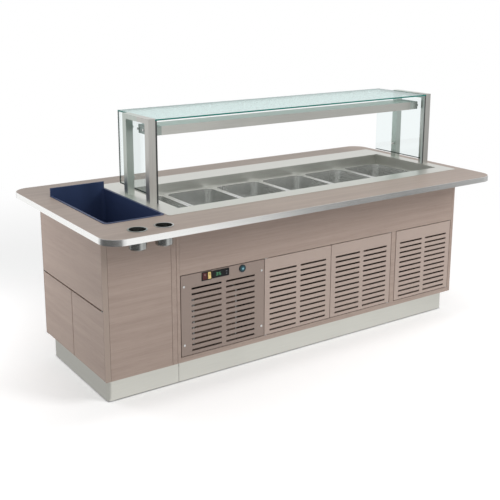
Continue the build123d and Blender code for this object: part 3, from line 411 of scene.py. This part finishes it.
node_finish = {
    "laminate_x": ["end_front_panel", "rear_panels", "front_fascia", "front_mullion", "floor_panels"],
    "laminate_y": ["end_side_panel", "end_upper_panel", "end_cross_rail", "end_door_front", "end_door_rear",
                   "main_left_panel", "service_partition", "right_end_panel"],
    "worktop": ["worktop"],
    "louvre": ["louvre_door_left", "louvre_door_middle", "louvre_door_right"],
    "service": ["service_panel"],
    "corner": ["corner_posts"],
    "plinth": ["plinth_end", "plinth_main"],
    "band": ["edge_band"],
    "flange": ["well_collar"],
    "tank": ["well_tank"],
    "pan": ["pan_1", "pan_2", "pan_3", "pan_4", "pan_5", "condiment_tray"],
    "cup": ["bottle_cup_left", "bottle_cup_right"],
    "post": ["canopy_frame_left", "canopy_frame_right"],
    "lamp": ["lamp_housing"],
    "fastener": ["fixing_screws", "end_door_pivots", "louvre_door_pivots"],
    "zinc": ["levelling_feet"],
    "frame_paint": ["base_frame"],
    "navy": ["crockery_bin"],
    "black": ["thermostat_case", "rocker_frame", "fan_blade"],
    "ring": ["button_ring"],
    "dark": ["pane_channels"],
    "cap_grey": ["lamp_end_caps"],
    "display": ["thermostat_window"],
    "key": ["thermostat_key_up", "thermostat_key_down"],
    "red": ["rocker_red"],
    "yellow": ["rocker_yellow"],
    "blue": ["push_button"],
    "opal": ["lamp_diffuser"],
    "foam": ["tank_insulation"],
    "pot": ["compressor"],
    "fins": ["condenser"],
    "copper": ["refrigerant_pipes"],
    "end_glass": ["end_panes"],
    "top_glass": ["top_glass"],
}

for finish, members in node_finish.items():
    for member in members:
        mesh = nodes[member].data
        mesh.materials.clear()
        mesh.materials.append(finishes[finish])


# Pieces made here

def finish_piece(name, mesh, finish, body):
    """Put a finished mesh in the scene and let it ride on a body."""
    piece = bpy.data.objects.new(name, mesh)
    bpy.context.scene.collection.objects.link(piece)
    if finish:
        mesh.materials.clear()
        mesh.materials.append(finishes[finish])
    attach(piece, body)


def node_group(name, inputs):
    """An empty Geometry Nodes tree with named inputs. Gives the tree and its inputs as wires."""
    tree = bpy.data.node_groups.new(name, "GeometryNodeTree")
    tree.interface.new_socket("Geometry", in_out="OUTPUT", socket_type="NodeSocketGeometry")
    for label, kind in inputs.items():
        tree.interface.new_socket(label, in_out="INPUT", socket_type=kind)
    source = add_node(tree, "NodeGroupInput").socket.node
    return tree, {label: Wire(tree, source.outputs[label]) for label in inputs}


def close_group(tree, geometry, finish):
    """End a Geometry Nodes tree in Realize Instances and Set Material."""
    real = add_node(tree, "GeometryNodeRealizeInstances", None, {"Geometry": geometry})
    dressed = add_node(tree, "GeometryNodeSetMaterial", None,
                       {"Geometry": real, "Material": finishes[finish]})
    add_node(tree, "NodeGroupOutput", None, {"Geometry": dressed})


def grown(name, tree, values):
    """Run a Geometry Nodes tree on an empty mesh and give the result as a plain mesh."""
    holder = bpy.data.objects.new(name + "_holder", bpy.data.meshes.new(name + "_holder"))
    bpy.context.scene.collection.objects.link(holder)
    modifier = holder.modifiers.new("grow", "NODES")
    modifier.node_group = tree
    for item in tree.interface.items_tree:
        if item.in_out == "INPUT":
            modifier[item.identifier] = values[item.name]
    depsgraph = bpy.context.evaluated_depsgraph_get()
    mesh = bpy.data.meshes.new_from_object(holder.evaluated_get(depsgraph))
    mesh.name = name
    bpy.data.objects.remove(holder)
    return mesh


def condenser_fins():
    """Thin aluminium fins side by side on the face of the condenser, above its legs."""
    legs, plate = 0.029, 0.003
    thickness, depth, pitch, height_share = 0.0005, 0.0024, 0.0036, 0.96
    tree, wires = node_group("fin_rows", {
        "Count": "NodeSocketInt", "Fin": "NodeSocketVector", "First": "NodeSocketVector",
        "Last": "NodeSocketVector"})
    fin = add_node(tree, "GeometryNodeMeshCube", None, {"Size": wires["Fin"]})
    row = add_node(tree, "GeometryNodeMeshLine", {"mode": "END_POINTS"},
                   {"Count": wires["Count"], "Start Location": wires["First"], "Offset": wires["Last"]})
    fins = add_node(tree, "GeometryNodeInstanceOnPoints", None, {"Points": row, "Instance": fin})
    close_group(tree, fins, "fins")
    low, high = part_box("condenser")
    left = low.x + plate + pitch
    right = high.x - plate - pitch
    height = high.z - low.z - legs
    middle = low.z + legs + height / 2
    front = low.y - depth / 2
    return grown("condenser_fins", tree, {
        "Count": int((right - left) / pitch) + 1,
        "Fin": (thickness, depth, height * height_share),
        "First": (left, front, middle),
        "Last": (right, front, middle),
    })


def boxes_mesh(name, boxes):
    """One mesh of upright boxes, each given by its low and high corner."""
    mesh = bpy.data.meshes.new(name)
    shape = bmesh.new()
    for low, high in boxes:
        size = [b - a for a, b in zip(low, high)]
        middle = [(a + b) / 2 for a, b in zip(low, high)]
        where = Matrix.Translation(middle) @ Matrix.Diagonal((*size, 1.0))
        bmesh.ops.create_cube(shape, size=1.0, matrix=where)
    shape.to_mesh(mesh)
    shape.free()
    return mesh


MARK_PROUD = 0.00025
MARK_REACH = 0.02
MARK_LEVEL = 0.66
READING = "35"
SEGMENTS = {"3": "abgcd", "5": "afgcd"}
DIGIT_WIDTH, DIGIT_HEIGHT = 0.0125, 0.0155
DIGIT_STROKE, DIGIT_GAP = 0.0021, 0.0004
DIGIT_INSET, DIGIT_PITCH = 0.0125, 0.0175
POINT_BACK, POINT_WIDTH = 0.0036, 0.002


def segment_boxes(digit, left, bottom, front):
    """The lit strokes of one digit of a seven-stroke display."""
    middle = bottom + DIGIT_HEIGHT / 2
    top = bottom + DIGIT_HEIGHT
    right = left + DIGIT_WIDTH
    lying = {"a": top - DIGIT_STROKE, "g": middle - DIGIT_STROKE / 2, "d": bottom}
    standing = {"b": (right - DIGIT_STROKE, middle, top), "c": (right - DIGIT_STROKE, bottom, middle),
                "f": (left, middle, top)}
    boxes = []
    for stroke in SEGMENTS[digit]:
        if stroke in lying:
            z = lying[stroke]
            low = (left + DIGIT_STROKE + DIGIT_GAP, front - MARK_PROUD, z)
            high = (right - DIGIT_STROKE - DIGIT_GAP, front, z + DIGIT_STROKE)
        else:
            x, z_low, z_high = standing[stroke]
            low = (x, front - MARK_PROUD, z_low + DIGIT_GAP)
            high = (x + DIGIT_STROKE, front, z_high - DIGIT_GAP)
        boxes.append((low, high))
    return boxes


def display_digits():
    """A reading with one decimal on the thermostat's window."""
    low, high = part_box("thermostat_window")
    first = low.x + DIGIT_INSET
    bottom = (low.z + high.z) / 2 - DIGIT_HEIGHT / 2
    strokes = []
    for index, digit in enumerate(READING):
        strokes += segment_boxes(digit, first + index * DIGIT_PITCH, bottom, low.y)
    point = first + DIGIT_PITCH - POINT_BACK
    strokes.append(((point, low.y - MARK_PROUD, bottom), (point + POINT_WIDTH, low.y, bottom + DIGIT_STROKE)))
    return boxes_mesh("thermostat_digits", strokes)


def key_arrow(node, upward):
    """A small triangle on a thermostat key, printed on its face."""
    half, rise = 0.0048, 0.0016 if upward else -0.0016
    low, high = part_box(node)
    middle_x, middle_z = (low.x + high.x) / 2, (low.z + high.z) / 2
    foot, tip = middle_z - rise, middle_z + rise
    corners = [(middle_x - half, foot), (middle_x + half, foot), (middle_x, tip)]
    if not upward:
        corners.reverse()
    points = [(x, y, z) for y in (low.y - MARK_PROUD, low.y) for x, z in corners]
    mesh = bpy.data.meshes.new(node + "_arrow")
    mesh.from_pydata(points, [], [(0, 1, 2), (5, 4, 3), (0, 3, 4, 1), (1, 4, 5, 2), (2, 5, 3, 0)])
    return mesh


def on_rocker(node, corners, faces):
    """A thin printed mark on the upper half of a rocker, laid on its sloping face."""
    low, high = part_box(node)
    start = Vector(((low.x + high.x) / 2, low.y - MARK_REACH, low.z + MARK_LEVEL * (high.z - low.z)))
    _, spot, normal, _ = nodes[node].ray_cast(start, Vector((0.0, 1.0, 0.0)))
    turn = normal.to_track_quat("Z", "Y").to_matrix().to_4x4()
    mesh = bpy.data.meshes.new(node + "_mark")
    mesh.from_pydata(corners, [], faces)
    mesh.transform(Matrix.Translation(spot) @ turn)
    return mesh


def bar_mark(half_width, half_height):
    """Corners and faces of a thin upright bar."""
    outline = [(-half_width, -half_height), (half_width, -half_height),
               (half_width, half_height), (-half_width, half_height)]
    corners = [(x, y, z) for z in (0.0, MARK_PROUD) for x, y in outline]
    sides = [(i, (i + 1) % 4, (i + 1) % 4 + 4, i + 4) for i in range(4)]
    return corners, [(3, 2, 1, 0), (4, 5, 6, 7)] + sides


def ring_mark(inner, outer, count):
    """Corners and faces of a thin ring."""
    turns = [2 * math.pi * i / count for i in range(count)]
    corners = [(radius * math.cos(a), radius * math.sin(a), z)
               for z in (0.0, MARK_PROUD) for radius in (inner, outer) for a in turns]
    faces = []
    for i in range(count):
        j = (i + 1) % count
        rows = [(row * count + i, row * count + j) for row in range(4)]
        for first, second in ((0, 1), (3, 2), (2, 0), (1, 3)):
            faces.append((rows[first][0], rows[first][1], rows[second][1], rows[second][0]))
    return corners, faces


def button_lens_painted_highlight():
    """A small dome in the middle of the push button. Its glow is a painted highlight."""
    radius, proud, snap = 0.0055, 0.0009, 0.000005
    low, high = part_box("push_button")
    mesh = bpy.data.meshes.new("push_button_lens")
    shape = bmesh.new()
    bmesh.ops.create_uvsphere(shape, u_segments=24, v_segments=12, radius=1.0)
    middle = Matrix.Translation(((low.x + high.x) / 2, low.y, (low.z + high.z) / 2))
    shape.transform(middle @ Matrix.Diagonal((radius, proud, radius, 1.0)))
    bmesh.ops.bisect_plane(shape, geom=shape.verts[:] + shape.edges[:] + shape.faces[:], dist=snap,
                           plane_co=(0.0, low.y, 0.0), plane_no=(0.0, 1.0, 0.0), clear_outer=True)
    bmesh.ops.holes_fill(shape, edges=[edge for edge in shape.edges if edge.is_boundary])
    shape.to_mesh(mesh)
    shape.free()
    mesh.shade_smooth()
    return mesh


def screw_recesses():
    """Grey crosses laid on the heads of the service panel's four screws: painted shade where their cross
    recesses would be.
    """
    side_inset, end_inset, head = 0.017, 0.058, 0.0025
    length, stroke, depth = 0.0062, 0.0011, 0.0004
    tree, wires = node_group("screw_crosses", {
        "Rows": "NodeSocketInt", "Columns": "NodeSocketInt", "Width": "NodeSocketFloat",
        "Height": "NodeSocketFloat", "Middle": "NodeSocketVector", "Bar": "NodeSocketVector",
        "Cross Bar": "NodeSocketVector"})
    grid = add_node(tree, "GeometryNodeMeshGrid", None, {
        "Size X": wires["Width"], "Size Y": wires["Height"],
        "Vertices X": wires["Columns"], "Vertices Y": wires["Rows"]})
    points = add_node(tree, "GeometryNodeMeshToPoints", {"mode": "VERTICES"}, {"Mesh": grid})
    upright = add_node(tree, "GeometryNodeTransform", None, {
        "Geometry": points, "Translation": wires["Middle"], "Rotation": (math.pi / 2, 0.0, 0.0)})
    cross = add_node(tree, "GeometryNodeJoinGeometry")
    for label in ("Bar", "Cross Bar"):
        bar = add_node(tree, "GeometryNodeMeshCube", None, {"Size": wires[label]})
        tree.links.new(bar.socket, cross.socket.node.inputs[0])
    crosses = add_node(tree, "GeometryNodeInstanceOnPoints", None, {"Points": upright, "Instance": cross})
    close_group(tree, crosses, "recess")
    low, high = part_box("service_panel")
    return grown("service_screw_recesses", tree, {
        "Rows": 2,
        "Columns": 2,
        "Width": high.x - low.x - 2 * side_inset,
        "Height": high.z - low.z - 2 * end_inset,
        "Middle": ((low.x + high.x) / 2, low.y - head, (low.z + high.z) / 2),
        "Bar": (length, depth, stroke),
        "Cross Bar": (stroke, depth, length),
    })


finish_piece("condenser_fins", condenser_fins(), None, "cabinet")
finish_piece("thermostat_digits", display_digits(), "digit", "cabinet")
finish_piece("thermostat_key_up_arrow", key_arrow("thermostat_key_up", True), "mark",
             "thermostat_key_up")
finish_piece("thermostat_key_down_arrow", key_arrow("thermostat_key_down", False), "mark",
             "thermostat_key_down")
finish_piece("rocker_red_mark",
             on_rocker("rocker_red", *bar_mark(half_width=0.0012, half_height=0.0045)),
             "mark_pale", "rocker_red")
finish_piece("rocker_yellow_mark",
             on_rocker("rocker_yellow", *ring_mark(inner=0.0026, outer=0.0042, count=24)),
             "mark_dark", "rocker_yellow")
finish_piece("push_button_lens", button_lens_painted_highlight(), "lens", "push_button")
finish_piece("service_screw_recesses", screw_recesses(), None, "cabinet")


# Studio: each span is the place where a change starts and the place where it is complete

FLOOR_HALF = 14.0
FLOOR_PALE = (0.9, 0.9, 0.9, 1.0)
FADE_SPAN = (2.2, 4.5)
# The floor lift is painted light: least beside and behind the island, most in front.
LIFT_NEAR, LIFT_FAR, LIFT_FRONT = 0.205, 0.255, 0.32
LIFT_FAR_SPAN = (1.2, 1.6)
LIFT_FRONT_SPAN = (-0.4, -0.6)
# Painted reflections: the dark, grey, shaded and dim floor zones below show only in reflections.
DARK_FLOOR_AT = (-3.94, -1.85, 0.0)
DARK_FLOOR_SPAN = (4.1, 3.0)
DARK_FLOOR_REACH = (2.3, 3.1)
DARK_FLOOR_SHARE = 0.94
GREY_FLOOR_SPAN = (0.5, 4.0)
GREY_FLOOR_SHARE = 0.5
SHADED_FLOOR_SPAN = (-2.0, -1.4)
SHADED_FLOOR_SHARE = 0.40
DIM_FLOOR_LEFT, DIM_FLOOR_RIGHT = (0.6, 2.1), (4.4, 3.6)
DIM_FLOOR_NEAR, DIM_FLOOR_FAR = (-1.5, -2.1), (-5.2, -4.6)
DIM_FLOOR_SHARE = 0.62
SKY_LIGHT = 0.68
KEY_AT, KEY_AIM, KEY_SIDE = (2.8, -4.6, 4.0), (0.0, 0.0, 0.6), 2.2
LEFT_AT, LEFT_AIM, LEFT_SIDE = (-2.1, 1.25, 0.75), (-1.1, 0.5, 0.45), 0.9
CAMERA_AT = (-2.75481, -3.87498, 1.9566)
CAMERA_YAW, CAMERA_DIP = math.radians(33.81), math.radians(13.06)
CAMERA_LENS, CAMERA_SENSOR = 61.36, 36.0
CAMERA_SHIFT_X, CAMERA_SHIFT_Y = 0.0224, -0.12


def camera_lift(along, across):
    """How much paler the camera sees the floor: more at the ends, most in front, nothing under the plinth.
    This is painted light: it keeps the island's shadow beside and behind it and washes it out in front.
    """
    skirt_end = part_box("plinth_main")[1]
    outside = (along.size() > skirt_end.x).largest(across.size() > skirt_end.y)
    farther = ramp_between(along.size(), *LIFT_FAR_SPAN)
    front = ramp_between(across, *LIFT_FRONT_SPAN)
    rise = farther * (LIFT_FAR - LIFT_NEAR) + front * (LIFT_FRONT - LIFT_NEAR)
    return outside * (rise + LIFT_NEAR)


def mirrored_level(where, reach, along, across):
    """How bright steel sees the floor: dark to the left, shaded by the end, grey and dim to the right. These
    zones are painted reflections and a painted shadow that the camera never sees on the floor.
    """
    from_dark = where.make("ShaderNodeVectorMath", {"operation": "DISTANCE"}, {0: where, 1: DARK_FLOOR_AT},
                           "Value")
    dark = ramp_between(from_dark, *DARK_FLOOR_SPAN) * ramp_between(reach, *DARK_FLOOR_REACH)
    grey = ramp_between(along, *GREY_FLOOR_SPAN)
    shaded = ramp_between(along, *SHADED_FLOOR_SPAN) * (along < -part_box("plinth_main")[1].x)
    dim_along = ramp_between(along, *DIM_FLOOR_LEFT) * ramp_between(along, *DIM_FLOOR_RIGHT)
    dim_across = ramp_between(across, *DIM_FLOOR_NEAR) * ramp_between(across, *DIM_FLOOR_FAR)
    level = 1.0 - dark * DARK_FLOOR_SHARE
    level = level * (1.0 - grey * GREY_FLOOR_SHARE)
    level = level * (1.0 - shaded * SHADED_FLOOR_SHARE)
    return level * (1.0 - dim_along * dim_across * DIM_FLOOR_SHARE)


def build_floor():
    """A pale floor that keeps the island's shadow and turns white far off. Steel sees it darker, in zones of
    painted reflection and painted shadow.
    """
    corners = [(-1, -1), (1, -1), (1, 1), (-1, 1)]
    mesh = bpy.data.meshes.new("studio_floor")
    mesh.from_pydata([(x * FLOOR_HALF, y * FLOOR_HALF, 0) for x, y in corners], [], [(0, 1, 2, 3)])
    floor = bpy.data.objects.new("studio_floor", mesh)
    bpy.context.scene.collection.objects.link(floor)
    material, tree = new_tree("floor_pale")
    where = here(tree)
    reach = where.make("ShaderNodeVectorMath", {"operation": "LENGTH"}, {0: where}, "Value")
    along, across = component(where, "X"), component(where, "Y")
    camera_ray = ray_is(tree, "Camera")
    unlit = add_node(tree, "ShaderNodeEmission", None, {"Color": WHITE, "Strength": 0.0})
    white = add_node(tree, "ShaderNodeEmission", None, {"Color": WHITE, "Strength": 1.0})
    matte = add_node(tree, "ShaderNodeBsdfDiffuse", None, {"Color": FLOOR_PALE})
    lift = blend_surface(camera_ray * camera_lift(along, across), unlit, white)
    near = add_node(tree, "ShaderNodeAddShader", None, {0: matte, 1: lift})
    plain = blend_surface(camera_ray * ramp_between(reach, *FADE_SPAN), near, white)
    mirrored = blend_surface(mirrored_level(where, reach, along, across), unlit, white)
    close_tree(tree, blend_surface(ray_is(tree, "Glossy"), plain, mirrored))
    mesh.materials.append(material)


def build_world():
    """White behind the island for the camera and for reflections, a plain soft grey for light."""
    world = bpy.data.worlds.new("studio_world")
    bpy.context.scene.world = world
    world.use_nodes = True
    tree = world.node_tree
    tree.nodes.clear()
    seen = ray_is(tree, "Camera").largest(ray_is(tree, "Glossy")).largest(ray_is(tree, "Transmission"))
    strength = seen * (1.0 - SKY_LIGHT) + SKY_LIGHT
    sky = add_node(tree, "ShaderNodeBackground", None, {"Color": WHITE, "Strength": strength})
    add_node(tree, "ShaderNodeOutputWorld", None, {"Surface": sky})


def build_lamp(name, place_at, aim_at, side, power, mirrored=False):
    """A soft box that lights the surfaces, or one that only shows as a mild sheen in steel and glass."""
    light = bpy.data.lights.new(name, "AREA")
    light.shape = "RECTANGLE"
    light.size = side
    light.size_y = side
    light.energy = power
    lamp = bpy.data.objects.new(name, light)
    bpy.context.scene.collection.objects.link(lamp)
    lamp.visible_glossy = mirrored
    lamp.visible_diffuse = not mirrored
    lamp.visible_camera = False
    lamp.location = place_at
    lamp.rotation_euler = (Vector(aim_at) - Vector(place_at)).to_track_quat("-Z", "Y").to_euler()


def build_camera():
    """The photograph's viewpoint: front left, a little above the canopy."""
    data = bpy.data.cameras.new("photo_camera")
    data.lens = CAMERA_LENS
    data.sensor_width = CAMERA_SENSOR
    data.shift_x = CAMERA_SHIFT_X
    data.shift_y = CAMERA_SHIFT_Y
    data.dof.use_dof = False
    camera = bpy.data.objects.new("photo_camera", data)
    bpy.context.scene.collection.objects.link(camera)
    camera.location = CAMERA_AT
    level = math.cos(CAMERA_DIP)
    ahead = Vector((math.sin(CAMERA_YAW) * level, math.cos(CAMERA_YAW) * level, -math.sin(CAMERA_DIP)))
    camera.rotation_euler = ahead.to_track_quat("-Z", "Y").to_euler()
    bpy.context.scene.camera = camera


build_floor()
build_world()
build_lamp("key_softbox", KEY_AT, KEY_AIM, KEY_SIDE, power=165.0)
build_lamp("key_sheen", KEY_AT, KEY_AIM, KEY_SIDE, power=80.0, mirrored=True)
build_lamp("left_softbox", LEFT_AT, LEFT_AIM, LEFT_SIDE, power=10.0)
build_camera()
bpy.context.scene.view_settings.view_transform = "Standard"
